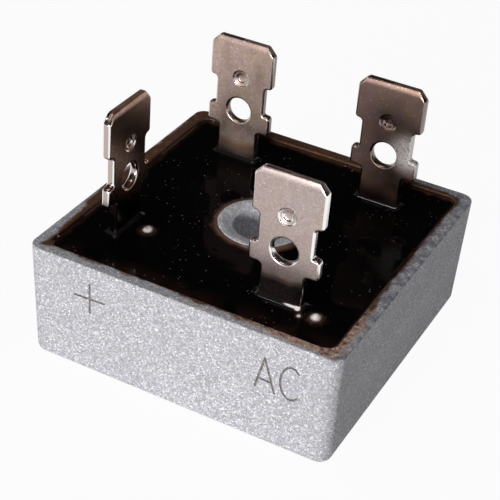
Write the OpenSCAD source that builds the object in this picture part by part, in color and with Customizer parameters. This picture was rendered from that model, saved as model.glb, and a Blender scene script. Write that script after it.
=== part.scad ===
// Square bridge rectifier in a cast metal cup, with four push-on blade terminals and one
// central mounting hole. Millimetres. The origin is the middle of the mounting face, +Z is up,
// and the marked side of the case faces -Y.

/* [Case] */
// Side of the square case at the rim
case_w = 28.8; // [27:0.1:32]
// Height of the case from mounting face to rim
case_h = 10.95; // [9.5:0.05:13]
// Thickness of the side walls
wall = 1.2; // [0.8:0.05:1.8]
// Thickness of the floor under the silicon
floor_t = 1.8; // [1.2:0.1:2.4]
// How far each side leans in from rim to base
draft_inset = 0.25; // [0:0.01:0.4]
// Radius of the upright outer corners
case_corner_r = 1.15; // [0.8:0.05:2]
// Radius of the upright inner corners
cavity_corner_r = 1.1; // [0.8:0.05:2]
// Radius round the edge of the mounting face
base_edge_r = 0.6; // [0.2:0.05:1]
// Radius where the inner walls meet the floor
cavity_edge_r = 0.5; // [0.2:0.05:0.8]
// Radius on the two edges of the rim
rim_edge_r = 0.15; // [0.05:0.01:0.3]

/* [Hub] */
// Radius of the mounting hole
hole_r = 2.45; // [2.1:0.05:2.8]
// Outer radius of the hub round the hole
hub_r = 3.9; // [3.5:0.05:4.2]
// How far the top of the hub stands over the compound
hub_rise = 0.2; // [0.15:0.05:0.5]
// Chamfer of the hole at the mounting face
hole_chamfer = 0.2; // [0.05:0.05:0.4]
// How far the dish round the top of the hole reaches out from it
dish_w = 1; // [0.2:0.05:1.1]
// Depth of the dish at the hole
dish_depth = 0.3; // [0.1:0.05:0.5]
// Radius on the outer edge of the hub's top
hub_edge_r = 0.25; // [0.05:0.05:0.5]
// Radius where the hub meets the floor
hub_root_r = 0.6; // [0.2:0.05:0.8]

/* [Potting] */
// How far the surface of the compound lies under the rim
potting_drop = 0.5; // [0.4:0.05:1.5]
// How high the compound creeps up the walls
creep_h = 0.3; // [0.1:0.05:0.35]
// How high the compound creeps up the terminals
foot_creep_h = 0.25; // [0.1:0.05:0.4]
// How high the compound creeps up the hub
hub_creep_h = 0.12; // [0.05:0.01:0.14]
// Thickness of the compound at the top of the creep
creep_film = 0.05; // [0.03:0.01:0.1]
// How far the creep reaches out from what it climbs
creep_w = 0.45; // [0.2:0.05:0.6]

/* [Terminal blades] */
// Width of the blade
blade_w = 6.3; // [6.2:0.05:6.4]
// Thickness of the terminal sheet
blade_t = 0.8; // [0.7:0.05:0.9]
// Height of the blade's tip over the mounting face
tip_z = 22.45; // [21.5:0.05:25.4]
// Width of the chamfer on each corner of the tip
tip_chamfer_w = 0.75; // [0.3:0.05:1.2]
// Height of the chamfer on each corner of the tip
tip_chamfer_h = 0.8; // [0.3:0.05:1.2]
// How far the lead-in bevel reaches down from the tip
bevel_long = 0.5; // [0.2:0.05:0.8]
// How far the lead-in bevel cuts into the thickness
bevel_deep = 0.22; // [0.1:0.01:0.3]
// Reach of the bevel on the blade's long edges
side_bevel = 0.2; // [0.05:0.01:0.25]
// Distance from tip to the top of the side notches
notch_top = 4.1; // [3.6:0.05:4.6]
// Height of the side notches
notch_h = 2.75; // [2:0.05:3.2]
// Depth of the side notches
notch_d = 0.7; // [0.4:0.05:0.9]
// Height of the shoulders under the notches
shoulder_h = 1.9; // [1.4:0.05:2.1]
// Radius of the small corners of the outline
outline_r = 0.35; // [0.2:0.05:0.45]
// Width of the foot that goes into the compound
foot_w = 3.95; // [3.2:0.05:4.6]
// Inner radius of the bend at the bottom of the foot
bend_r = 0.8; // [0.4:0.05:1]

/* [Blade holes] */
// Radius of the wire hole
wire_hole_r = 1.15; // [0.8:0.05:1.3]
// Distance from tip to the middle of the wire hole
wire_hole_down = 6.95; // [6.4:0.05:7.3]
// Radius of the latching dimple at the face
dimple_r = 0.85; // [0.5:0.05:1]
// Depth of the latching dimple
dimple_d = 0.26; // [0.1:0.01:0.3]
// Distance from tip to the middle of the dimple
dimple_down = 3.75; // [3:0.05:4.2]

/* [Terminal places] */
// Distance of the positive blade's middle plane left of the hole
positive_x = 9.7; // [9.4:0.05:10.1]
// Distance of the positive blade's middle in front of the hole
positive_y = 6.7; // [5.6:0.05:7.4]
// Distance of the negative blade's middle right of the hole
negative_x = 7.05; // [6.6:0.05:7.5]
// Distance of the negative blade's middle plane behind the hole
negative_y = 9.3; // [9.1:0.05:9.8]
// Distance of the front AC blade's middle right of the hole
ac_front_x = 6.65; // [6.2:0.05:7.4]
// Distance of the front AC blade's middle plane in front of the hole
ac_front_y = 9.1; // [9.05:0.05:9.8]
// Distance of the back AC blade's middle left of the hole
ac_back_x = 7.35; // [6.4:0.05:7.4]
// Distance of the back AC blade's middle plane behind the hole
ac_back_y = 9.05; // [9.05:0.05:9.8]

/* [Silicon] */
// Side of a diode die at its base
die_w = 4.2; // [3.4:0.05:4.4]
// Side of the contact mesa on a die
mesa_w = 3.7; // [2.8:0.05:3.9]
// Thickness of a die
die_t = 0.3; // [0.2:0.02:0.4]
// Height of the mesa within the die's thickness
mesa_h = 0.1; // [0.04:0.02:0.14]
// Side of a solder layer
solder_w = 3.5; // [2.6:0.05:3.7]
// Thickness of a solder layer
solder_t = 0.1; // [0.05:0.01:0.2]
// Distance of each die's middle from the hole, along X
die_x = 5.6; // [5.4:0.05:5.8]
// Distance of each die's middle from the hole, along Y
die_y = 5.55; // [5.4:0.05:5.7]

/* [Insulation] */
// Thickness of the insulating plate on the floor
plate_t = 0.5; // [0.3:0.05:0.8]
// Gap between the insulating plate and the walls and hub at the floor
plate_gap = 0.2; // [0.1:0.05:0.5]
// Gap between the hub and the conductors round it
hub_gap = 1.05; // [0.8:0.05:1.1]
// Gap between the positive and negative plates
pole_gap = 2.2; // [1.4:0.1:2.6]
// Margin of a contact pad past its die
pad_margin = 0.15; // [0.1:0.05:0.3]

/* [Hidden] */
$fn = 96;

// Steps in each small rounded corner of an outline
arc_steps = 3;
// Overshoot of a cutting tool past the surface it cuts
cut = 0.4;
// Least flat left between an edge radius and the corner axis
least_flat = 0.1;

// Levels above the mounting face
plate_z = floor_t;
pole_z = plate_z + plate_t;
die_z = pole_z + blade_t + solder_t;
clip_z = die_z + die_t + solder_t;
potting_z = case_h - potting_drop;
creep_z = potting_z + creep_h;
hub_z = potting_z + hub_rise;
dish_r = min(hole_r + dish_w, hub_r - hub_edge_r - least_flat);

// Plan sizes
cavity_w = case_w - 2 * wall;
hub_clear_r = hub_r + hub_gap;
die_reach_x = die_x + die_w / 2 + pad_margin;
die_reach_y = die_y + die_w / 2 + pad_margin;
die_near_y = die_y - die_w / 2 - pad_margin;
foot_half = foot_w / 2;
bend_reach = blade_t / 2 + bend_r;

// Heights on the blade
notch_hi = tip_z - notch_top;
notch_lo = notch_hi - notch_h;
shoulder_lo = notch_lo - shoulder_h;

// How far a drafted wall has leaned in at height z
function lean(z) = draft_inset * (1 - z / case_h);

// Points of an arc of radius r about c, from angle a0 to a1
function arc(c, r, a0, a1, steps = arc_steps) =
  [for (i = [0:steps]) c + r * [cos(a0 + (a1 - a0) * i / steps), sin(a0 + (a1 - a0) * i / steps)]];

// Rounds the corner b between the points a and c with radius r
function rounded(a, b, c, r) =
  let (u = (a - b) / norm(a - b), v = (c - b) / norm(c - b))
  let (half = acos(u * v) / 2, reach = r / tan(half))
  let (middle = b + (u + v) / norm(u + v) * r / sin(half))
  let (p = b + u * reach - middle, q = b + v * reach - middle)
  let (a0 = atan2(p[1], p[0]), turn = atan2(p[0] * q[1] - p[1] * q[0], p * q))
  arc(middle, r, a0, a0 + turn);

// A closed outline from corners given as [point, radius]; a radius of 0 keeps the corner sharp
function outline(corners) =
  let (n = len(corners))
  [for (i = [0:n - 1])
    let (a = corners[(i + n - 1) % n][0], b = corners[i][0], c = corners[(i + 1) % n][0])
    each (corners[i][1] > 0 ? rounded(a, b, c, corners[i][1]) : [b])];

// A block whose side section is given as points [distance out from the corner axis, z], listed
// from bottom to top; the corner axes stand at +-axis[0], +-axis[1]
module section_block(axis, section) {
  low = section[0][1];
  high = section[len(section) - 1][1];
  for (turn = [0:90:270]) {
    a = turn % 180 == 0 ? axis : [axis[1], axis[0]];
    rotate([0, 0, turn]) {
      if (turn < 180)
        rotate([90, 0, 0])
          linear_extrude(height = 2 * a[1], center = true)
            polygon(both_sides(a[0], section));
      translate([a[0], a[1], 0])
        rotate_extrude(angle = 90)
          polygon(concat([[0, low]], section, [[0, high]]));
    }
  }
}

// A closed section from a side section and its mirror image, with the corner axes at +-axis
function both_sides(axis, section) = concat(
  [for (p = section) [axis + p[0], p[1]]],
  [for (i = [len(section) - 1:-1:0]) [-axis - section[i][0], section[i][1]]]
);

// Outer form of the case: drafted sides, rounded corners, base edge and rim edge
module case_outside() {
  r = case_corner_r;
  foot_r = min(base_edge_r, r - draft_inset - least_flat);
  low = r - lean(0);
  section_block([1, 1] * (case_w / 2 - r), concat(
    arc([low - foot_r, foot_r], foot_r, -90, 0),
    arc([r - rim_edge_r, case_h - rim_edge_r], rim_edge_r, 0, 90)
  ));
}

// Section of the cavity's side wall from the floor up to height top
function cavity_section(top) =
  let (r = cavity_corner_r, low = r - lean(floor_t), e = cavity_edge_r)
  concat(
    arc([low - e, floor_t + e], e, -90, 0),
    [[r - lean(top), top]]
  );

module cavity(top) {
  section_block([1, 1] * (cavity_w / 2 - cavity_corner_r), cavity_section(top));
}

// The flare that rounds the inner edge of the rim
module rim_flare() {
  r = cavity_corner_r;
  e = rim_edge_r;
  section_block([1, 1] * (cavity_w / 2 - r), concat(
    [[r - lean(case_h - e), case_h - e]],
    [for (a = [30:30:90]) [r + e * (1 - cos(a)), case_h - e + e * sin(a)]],
    [[r + e, case_h + cut]]
  ));
}

// Hub with its root fillet, without the hole
module hub_outside() {
  root = hub_root_r;
  e = hub_edge_r;
  rotate_extrude()
    polygon(concat(
      [[0, floor_t]],
      [for (a = [0:30:90]) [hub_r + root - root * sin(a), floor_t + root - root * cos(a)]],
      [for (a = [0:30:90]) [hub_r - e + e * cos(a), hub_z - e + e * sin(a)]],
      [[0, hub_z]]
    ));
}

// Tool that makes the mounting hole, its chamfer and the dish at its top
module hole_tool() {
  c = hole_chamfer;
  slope = (dish_r - hole_r) / dish_depth;
  translate([0, 0, -cut])
    cylinder(h = hub_z + 2 * cut, r = hole_r);
  translate([0, 0, -cut])
    cylinder(h = cut + c, r1 = hole_r + c + cut, r2 = hole_r);
  translate([0, 0, hub_z - dish_depth])
    cylinder(h = dish_depth + cut, r1 = hole_r, r2 = hole_r + slope * (dish_depth + cut));
}

module case() {
  color([0.76, 0.77, 0.78])
    difference() {
      union() {
        difference() {
          case_outside();
          cavity(case_h - rim_edge_r);
          rim_flare();
        }
        hub_outside();
      }
      hole_tool();
    }
}

module insulating_plate() {
  side = 2 * (cavity_w / 2 - lean(floor_t) - cavity_edge_r - plate_gap);
  color([0.93, 0.92, 0.88])
    translate([0, 0, plate_z])
      linear_extrude(height = plate_t)
        difference() {
          square(side, center = true);
          circle(r = hub_r + hub_root_r + plate_gap);
        }
}

// Outline of a blade and its foot, standing on the height low
module blade_outline(low) {
  half = blade_w / 2;
  neck = half - notch_d;
  r = outline_r;
  right = [
    [[foot_half, low], 0],
    [[foot_half, shoulder_lo], r],
    [[half, shoulder_lo], r],
    [[half, notch_lo], r],
    [[neck, notch_lo], r * 0.6],
    [[neck, notch_hi], r],
    [[half, notch_hi], r],
    [[half, tip_z - tip_chamfer_h], r],
    [[half - tip_chamfer_w, tip_z], r]
  ];
  left = [for (i = [len(right) - 1:-1:0]) [[-right[i][0][0], right[i][0][1]], right[i][1]]];
  polygon(outline(concat(right, left)));
}

// Wedge that bevels a straight edge lying along X at the blade's face y = -blade_t / 2;
// the blade's material is below the edge
module bevel_wedge(length, reach, depth) {
  slope = depth / reach;
  rotate([90, 0, 90])
    linear_extrude(height = length, center = true)
      polygon([
        [-blade_t / 2, -reach],
        [-blade_t / 2 + depth + slope * cut, cut],
        [-blade_t / 2 - cut, cut],
        [-blade_t / 2 - cut, -reach]
      ]);
}

// The bevels of one face: the tip, its two corners and the two long edges
module face_bevels() {
  half = blade_w / 2;
  run = tip_z - shoulder_lo;
  tilt = atan2(tip_chamfer_h, tip_chamfer_w);
  corner_len = norm([tip_chamfer_w, tip_chamfer_h]);
  translate([0, 0, tip_z])
    bevel_wedge(blade_w, bevel_long, bevel_deep);
  for (side = [-1, 1]) {
    translate([side * (half - tip_chamfer_w / 2), 0, tip_z - tip_chamfer_h / 2])
      rotate([0, side * tilt, 0])
        bevel_wedge(corner_len * 3, bevel_long * 0.7, bevel_deep * 0.7);
    translate([side * half, 0, shoulder_lo + run / 2])
      rotate([0, side * 90, 0])
        bevel_wedge(run + 2 * cut, side_bevel, side_bevel);
  }
}

// Ball-shaped dimple in the face y = -blade_t / 2
module dimple() {
  ball_r = (dimple_r * dimple_r + dimple_d * dimple_d) / (2 * dimple_d);
  translate([0, -blade_t / 2 - ball_r + dimple_d, tip_z - dimple_down])
    sphere(r = ball_r);
}

// Upright part of a terminal: blade, foot and bend. The blade's middle plane is y = 0, its
// foot bends to +Y for way = 1 and to -Y for way = -1, and the sheet then lies at height z0
module upright(z0, way) {
  bend_z = z0 + blade_t + bend_r;
  difference() {
    translate([0, blade_t / 2, 0])
      rotate([90, 0, 0])
        linear_extrude(height = blade_t)
          blade_outline(bend_z);
    for (face = [0, 1])
      mirror([0, face, 0]) {
        face_bevels();
        dimple();
      }
    translate([0, 0, tip_z - wire_hole_down])
      rotate([90, 0, 0])
        cylinder(h = blade_t + 2 * cut, r = wire_hole_r, center = true);
  }
  translate([-foot_half, way * bend_reach, bend_z])
    rotate([90, 0, 90])
      linear_extrude(height = foot_w)
        bend_section(way);
}

// Quarter ring that joins the upright foot to the flat sheet
module bend_section(way) {
  outer = bend_r + blade_t;
  intersection() {
    difference() {
      circle(r = outer);
      circle(r = bend_r);
    }
    translate([way > 0 ? -outer : 0, -outer])
      square(outer);
  }
}

// A flat rectangle of the sheet from corner [x0, y0] to [x1, y1], clear of the hub
module flat_sheet(z0, rects) {
  translate([0, 0, z0])
    linear_extrude(height = blade_t)
      difference() {
        union()
          for (r = rects)
            translate([r[0], r[1]])
              square([r[2] - r[0], r[3] - r[1]]);
        circle(r = hub_clear_r);
      }
}

// The places of the four blades: the middle of each blade, its width along X
module at_positive() {
  translate([-positive_x, -positive_y, 0])
    rotate([0, 0, 90])
      children();
}

module at_negative() {
  translate([negative_x, negative_y, 0])
    children();
}

module at_ac_front() {
  translate([ac_front_x, -ac_front_y, 0])
    children();
}

module at_ac_back() {
  translate([-ac_back_x, ac_back_y, 0])
    children();
}

module terminal_positive() {
  edge = -positive_x + bend_reach;
  color([0.68, 0.65, 0.63]) {
    at_positive()
      upright(pole_z, -1);
    flat_sheet(pole_z, [
      [edge, -positive_y - foot_half, -pole_gap / 2, die_reach_y],
      [-die_reach_x, -die_reach_y, -pole_gap / 2, die_reach_y]
    ]);
  }
}

module terminal_negative() {
  edge = negative_y - bend_reach;
  color([0.68, 0.65, 0.63]) {
    at_negative()
      upright(pole_z, -1);
    flat_sheet(pole_z, [
      [pole_gap / 2, -die_reach_y, negative_x + foot_half, edge]
    ]);
  }
}

module terminal_ac_front() {
  edge = -ac_front_y + bend_reach;
  color([0.68, 0.65, 0.63]) {
    at_ac_front()
      upright(clip_z, 1);
    flat_sheet(clip_z, [
      [-die_reach_x, edge, ac_front_x + foot_half, -die_near_y]
    ]);
  }
}

module terminal_ac_back() {
  edge = ac_back_y - bend_reach;
  color([0.68, 0.65, 0.63]) {
    at_ac_back()
      upright(clip_z, -1);
    flat_sheet(clip_z, [
      [-ac_back_x - foot_half, die_near_y, die_reach_x, edge]
    ]);
  }
}

// A die with its contact mesa on top, or below when flipped
module die(side_x, side_y, flipped) {
  color([0.35, 0.36, 0.42])
    translate([side_x * die_x, side_y * die_y, die_z + (flipped ? die_t : 0)])
      mirror([0, 0, flipped ? 1 : 0]) {
        translate([-die_w / 2, -die_w / 2, 0])
          cube([die_w, die_w, die_t - mesa_h]);
        translate([-mesa_w / 2, -mesa_w / 2, die_t - mesa_h])
          cube([mesa_w, mesa_w, mesa_h]);
      }
}

module solder(side_x, side_y, z) {
  color([0.72, 0.74, 0.75])
    translate([side_x * die_x - solder_w / 2, side_y * die_y - solder_w / 2, z])
      cube([solder_w, solder_w, solder_t]);
}

module die_positive_front() { die(-1, -1, false); }
module die_positive_back() { die(-1, 1, false); }
module die_negative_front() { die(1, -1, true); }
module die_negative_back() { die(1, 1, true); }
module solder_under_positive_front() { solder(-1, -1, die_z - solder_t); }
module solder_under_positive_back() { solder(-1, 1, die_z - solder_t); }
module solder_under_negative_front() { solder(1, -1, die_z - solder_t); }
module solder_under_negative_back() { solder(1, 1, die_z - solder_t); }
module solder_over_positive_front() { solder(-1, -1, die_z + die_t); }
module solder_over_positive_back() { solder(-1, 1, die_z + die_t); }
module solder_over_negative_front() { solder(1, -1, die_z + die_t); }
module solder_over_negative_back() { solder(1, 1, die_z + die_t); }

// Everything that the compound surrounds
module buried() {
  hub_outside();
  insulating_plate();
  terminal_positive();
  terminal_negative();
  terminal_ac_front();
  terminal_ac_back();
  for (x = [-1, 1])
    for (y = [-1, 1]) {
      die(x, y, x > 0);
      solder(x, y, die_z - solder_t);
      solder(x, y, die_z + die_t);
    }
}

// Section of the curve that the creep leaves, from height z up by rise, given as points
// [distance from what it climbs, z]
function creep_curve(z, rise) =
  [for (a = [0:45:90]) [creep_w - (creep_w - creep_film) * sin(a), z + rise * (1 - cos(a))]];

// The air over the compound, with the creep left along the walls
module air_over_compound() {
  r = cavity_corner_r;
  top = r - lean(creep_z);
  section_block([1, 1] * (cavity_w / 2 - r), concat(
    [for (p = creep_curve(potting_z, creep_h)) [top - p[0], p[1]]],
    [[top - creep_film, creep_z + cut]]
  ));
}

// Compound that has crept up a terminal's foot
module foot_creep() {
  section_block([foot_half, blade_t / 2], concat(
    [[creep_w, potting_z - cut]],
    creep_curve(potting_z, foot_creep_h)
  ));
}

// Compound that has crept up the hub
module hub_creep() {
  inner = hub_r - hub_edge_r;
  rotate_extrude()
    polygon(concat(
      [[inner, potting_z - cut], [hub_r + creep_w, potting_z - cut]],
      [for (p = creep_curve(potting_z, hub_creep_h)) [hub_r + p[0], p[1]]],
      [[inner, potting_z + hub_creep_h]]
    ));
}

module potting_compound() {
  color([0.06, 0.06, 0.07])
    difference() {
      union() {
        difference() {
          cavity(creep_z);
          air_over_compound();
        }
        at_positive() foot_creep();
        at_negative() foot_creep();
        at_ac_front() foot_creep();
        at_ac_back() foot_creep();
        hub_creep();
      }
      buried();
    }
}

case();
insulating_plate();
terminal_positive();
terminal_negative();
terminal_ac_front();
terminal_ac_back();
potting_compound();
die_positive_front();
die_positive_back();
die_negative_front();
die_negative_back();
solder_under_positive_front();
solder_under_positive_back();
solder_under_negative_front();
solder_under_negative_back();
solder_over_positive_front();
solder_over_positive_back();
solder_over_negative_front();
solder_over_negative_back();
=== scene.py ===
"""The visual model of a square potted bridge rectifier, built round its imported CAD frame.

The case, the surface of the compound and the four blade terminals are modelled here with fine
edges; the buried plate, dice and solder are the CAD's own solids with a better finish.
"""

import logging
import math
from dataclasses import dataclass, field
from enum import Enum
from typing import Callable, Sequence

import bmesh
import bpy
from mathutils import Matrix, Vector


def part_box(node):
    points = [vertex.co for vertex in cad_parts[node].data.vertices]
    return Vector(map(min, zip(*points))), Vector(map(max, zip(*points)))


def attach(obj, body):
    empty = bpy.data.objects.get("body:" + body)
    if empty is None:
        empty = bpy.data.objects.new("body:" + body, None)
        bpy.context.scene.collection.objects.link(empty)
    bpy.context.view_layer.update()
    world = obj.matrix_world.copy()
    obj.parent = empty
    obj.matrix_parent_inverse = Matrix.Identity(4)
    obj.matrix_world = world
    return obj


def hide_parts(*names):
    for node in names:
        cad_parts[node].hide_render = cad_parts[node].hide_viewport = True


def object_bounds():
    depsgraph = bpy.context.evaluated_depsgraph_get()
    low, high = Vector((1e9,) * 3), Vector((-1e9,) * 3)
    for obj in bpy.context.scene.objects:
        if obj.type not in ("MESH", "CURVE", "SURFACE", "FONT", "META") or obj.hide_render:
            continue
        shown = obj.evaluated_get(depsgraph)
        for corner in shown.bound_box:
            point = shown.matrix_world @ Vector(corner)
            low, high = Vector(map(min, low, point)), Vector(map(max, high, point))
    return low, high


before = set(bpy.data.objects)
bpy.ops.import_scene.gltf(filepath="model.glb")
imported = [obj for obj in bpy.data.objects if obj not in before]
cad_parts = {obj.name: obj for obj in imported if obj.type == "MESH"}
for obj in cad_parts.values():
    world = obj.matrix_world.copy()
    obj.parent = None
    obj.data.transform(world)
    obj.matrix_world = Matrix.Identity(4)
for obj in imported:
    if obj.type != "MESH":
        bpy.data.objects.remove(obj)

CAD_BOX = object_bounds()
MM = 0.001
LOG = logging.getLogger("bridge_rectifier")

Point2 = tuple[float, float]
Point3 = tuple[float, float, float]
Colour = tuple[float, float, float]


class Solver(Enum):
    """How one closed mesh acts on another."""

    CUT = "DIFFERENCE"
    FUSE = "UNION"


class Facing(Enum):
    """Which way a blade's visible face looks."""

    FRONT = 0.0
    SIDE = math.pi / 2


# ---------------------------------------------------------------- modelling helpers


def activate(piece: bpy.types.Object) -> None:
    """Selects only this piece and makes it the active one.

    Args:
        piece: The object to work on.
    """
    if bpy.context.object and bpy.context.object.mode != "OBJECT":
        bpy.ops.object.mode_set(mode="OBJECT")
    bpy.ops.object.select_all(action="DESELECT")
    piece.select_set(True)
    bpy.context.view_layer.objects.active = piece


def select_where(piece: bpy.types.Object, kind: str, test: Callable[[Vector], bool]) -> int:
    """Selects the faces or edges whose middle passes a test, in edit mode.

    Args:
        piece: The object, which is in edit mode.
        kind: "FACE" or "EDGE".
        test: Says of a middle point, in metres, whether its face or edge is taken.

    Returns:
        How many faces or edges are selected.
    """
    bpy.ops.mesh.select_mode(type=kind)
    bpy.ops.mesh.select_all(action="DESELECT")
    mesh = bmesh.from_edit_mesh(piece.data)
    count = 0
    if kind == "FACE":
        for face in mesh.faces:
            if test(face.calc_center_median()):
                face.select_set(True)
                count += 1
    else:
        for edge in mesh.edges:
            if test((edge.verts[0].co + edge.verts[1].co) / 2):
                edge.select_set(True)
                count += 1
    mesh.select_flush_mode()
    bmesh.update_edit_mesh(piece.data)
    return count


def apply_modifier(piece: bpy.types.Object, kind: str, **settings: object) -> None:
    """Adds a modifier with its settings and applies it.

    Args:
        piece: The object to change.
        kind: The modifier's type.
        **settings: The modifier's own settings.
    """
    activate(piece)
    modifier = piece.modifiers.new(kind.lower(), kind)
    for key, value in settings.items():
        setattr(modifier, key, value)
    bpy.ops.object.modifier_apply(modifier=modifier.name)


def combine(piece: bpy.types.Object, tool: bpy.types.Object, solver: Solver) -> None:
    """Cuts a piece with a tool, or fuses the tool to it, and removes the tool.

    Args:
        piece: The closed mesh that stays.
        tool: The closed mesh that acts on it.
        solver: Whether to cut or to fuse.
    """
    apply_modifier(piece, "BOOLEAN", object=tool, operation=solver.value, solver="EXACT",
                   material_mode="TRANSFER")
    bpy.data.objects.remove(tool)


def settle(piece: bpy.types.Object, merge: float = 1e-7) -> None:
    """Bakes a piece's place into its mesh, merges its doubles and turns its faces outwards.

    Args:
        piece: The object to finish.
        merge: How near two points are to be one, in metres.
    """
    activate(piece)
    bpy.ops.object.transform_apply(location=True, rotation=True, scale=True)
    bpy.ops.object.mode_set(mode="EDIT")
    bpy.ops.mesh.select_all(action="SELECT")
    bpy.ops.mesh.remove_doubles(threshold=merge)
    bpy.ops.mesh.normals_make_consistent(inside=False)
    bpy.ops.object.mode_set(mode="OBJECT")


def smooth(piece: bpy.types.Object, degrees: float = 32.0) -> None:
    """Shades a piece smooth across shallow edges, with the big flats kept truly flat.

    Args:
        piece: The object to shade.
        degrees: The steepest edge that is smoothed.
    """
    activate(piece)
    bpy.ops.object.mode_set(mode="EDIT")
    bpy.ops.mesh.select_mode(type="VERT")
    bpy.ops.mesh.select_all(action="SELECT")
    bpy.ops.mesh.dissolve_degenerate(threshold=2e-6)
    bpy.ops.mesh.select_all(action="SELECT")
    bpy.ops.mesh.dissolve_limited(angle_limit=math.radians(0.2))
    bpy.ops.mesh.select_mode(type="FACE")
    bpy.ops.mesh.select_all(action="DESELECT")
    mesh = bmesh.from_edit_mesh(piece.data)
    for face in mesh.faces:
        face.select_set(max(abs(part) for part in face.normal) > 0.9998)
    bmesh.update_edit_mesh(piece.data)
    bpy.ops.mesh.mod_weighted_strength(set=True, face_strength="STRONG")
    bpy.ops.object.mode_set(mode="OBJECT")
    bpy.ops.object.shade_smooth_by_angle(angle=math.radians(degrees))
    apply_modifier(piece, "WEIGHTED_NORMAL", keep_sharp=True, weight=90,
                   use_face_influence=True)
    square_up(piece)


def square_up(piece: bpy.types.Object, limit: float = 20.0) -> None:
    """Gives every corner of a level or upright flat the flat's own normal.

    Args:
        piece: The shaded object.
        limit: Neighbours' corners that lie this near a flat's normal take it too, in degrees.
    """
    mesh = piece.data
    flats: dict[int, Vector] = {}
    level = [max(abs(part) for part in face.normal) > 0.9998 for face in mesh.polygons]
    for face, is_flat in zip(mesh.polygons, level):
        if is_flat:
            flats.update((vertex, face.normal.copy()) for vertex in face.vertices)
    normals = [corner.vector.copy() for corner in mesh.corner_normals]
    for face, is_flat in zip(mesh.polygons, level):
        for corner in face.loop_indices:
            flat = flats.get(mesh.loops[corner].vertex_index)
            if is_flat:
                normals[corner] = face.normal.copy()
            elif flat and normals[corner].angle(flat, math.pi) < math.radians(limit):
                normals[corner] = flat
    mesh.normals_split_custom_set(normals)


def block(name: str, low: Sequence[float], high: Sequence[float]) -> bpy.types.Object:
    """Adds a plain block between two corners.

    Args:
        name: The object's name.
        low: The lowest corner, in metres.
        high: The highest corner, in metres.

    Returns:
        The new object.
    """
    bpy.ops.object.select_all(action="DESELECT")
    middle = [(a + b) / 2 for a, b in zip(low, high)]
    bpy.ops.mesh.primitive_cube_add(size=1, location=middle)
    piece = bpy.context.object
    piece.name = name
    piece.scale = [b - a for a, b in zip(low, high)]
    bpy.ops.object.transform_apply(location=True, rotation=True, scale=True)
    return piece


def lathe(name: str, profile: Sequence[Point2], steps: int = 96) -> bpy.types.Object:
    """Spins a profile round the Z axis into a closed solid.

    Args:
        name: The object's name.
        profile: Points (radius, height) in metres, from the axis out and back to it.
        steps: How many steps the full turn takes.

    Returns:
        The new object.
    """
    bpy.ops.object.select_all(action="DESELECT")
    bpy.ops.mesh.primitive_plane_add(size=1)
    piece = bpy.context.object
    piece.name = name
    bpy.ops.object.mode_set(mode="EDIT")
    bpy.ops.mesh.delete(type="VERT")
    mesh = bmesh.from_edit_mesh(piece.data)
    points = [mesh.verts.new((radius, 0.0, height)) for radius, height in profile]
    for first, second in zip(points, points[1:]):
        mesh.edges.new((first, second))
    bmesh.update_edit_mesh(piece.data)
    bpy.ops.mesh.select_all(action="SELECT")
    bpy.ops.mesh.spin(steps=steps, angle=2 * math.pi, center=(0, 0, 0), axis=(0, 0, 1))
    bpy.ops.mesh.select_all(action="SELECT")
    bpy.ops.mesh.remove_doubles(threshold=1e-7)
    bpy.ops.mesh.normals_make_consistent(inside=False)
    bpy.ops.object.mode_set(mode="OBJECT")
    return piece


def arc(centre: Point2, radius: float, start: float, end: float, steps: int) -> list[Point2]:
    """Points of an arc.

    Args:
        centre: The arc's middle.
        radius: Its radius.
        start: Its first angle, in degrees.
        end: Its last angle, in degrees.
        steps: How many steps lie between them.

    Returns:
        The points from first to last.
    """
    turns = [math.radians(start + (end - start) * i / steps) for i in range(steps + 1)]
    return [(centre[0] + radius * math.cos(t), centre[1] + radius * math.sin(t)) for t in turns]


def rounded(corners: Sequence[tuple[float, float, float]], steps: int = 6) -> list[Point2]:
    """A closed outline with rounded corners.

    Args:
        corners: (x, y, radius) for each corner; a radius of 0 keeps it sharp.
        steps: How many steps each rounded corner has.

    Returns:
        The outline's points in order.
    """
    points: list[Point2] = []
    count = len(corners)
    for i, (x, y, radius) in enumerate(corners):
        here = Vector((x, y))
        if radius <= 0:
            points.append((x, y))
            continue
        before = (Vector(corners[i - 1][:2]) - here).normalized()
        after = (Vector(corners[(i + 1) % count][:2]) - here).normalized()
        half = before.angle(after) / 2
        middle = here + (before + after).normalized() * radius / math.sin(half)
        first = here + before * radius / math.tan(half) - middle
        last = here + after * radius / math.tan(half) - middle
        start = math.atan2(first.y, first.x)
        turn = math.atan2(first.x * last.y - first.y * last.x, first.dot(last))
        points += arc(tuple(middle), radius, math.degrees(start),
                      math.degrees(start + turn), steps)
    return points


# ---------------------------------------------------------------- finishes


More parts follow.
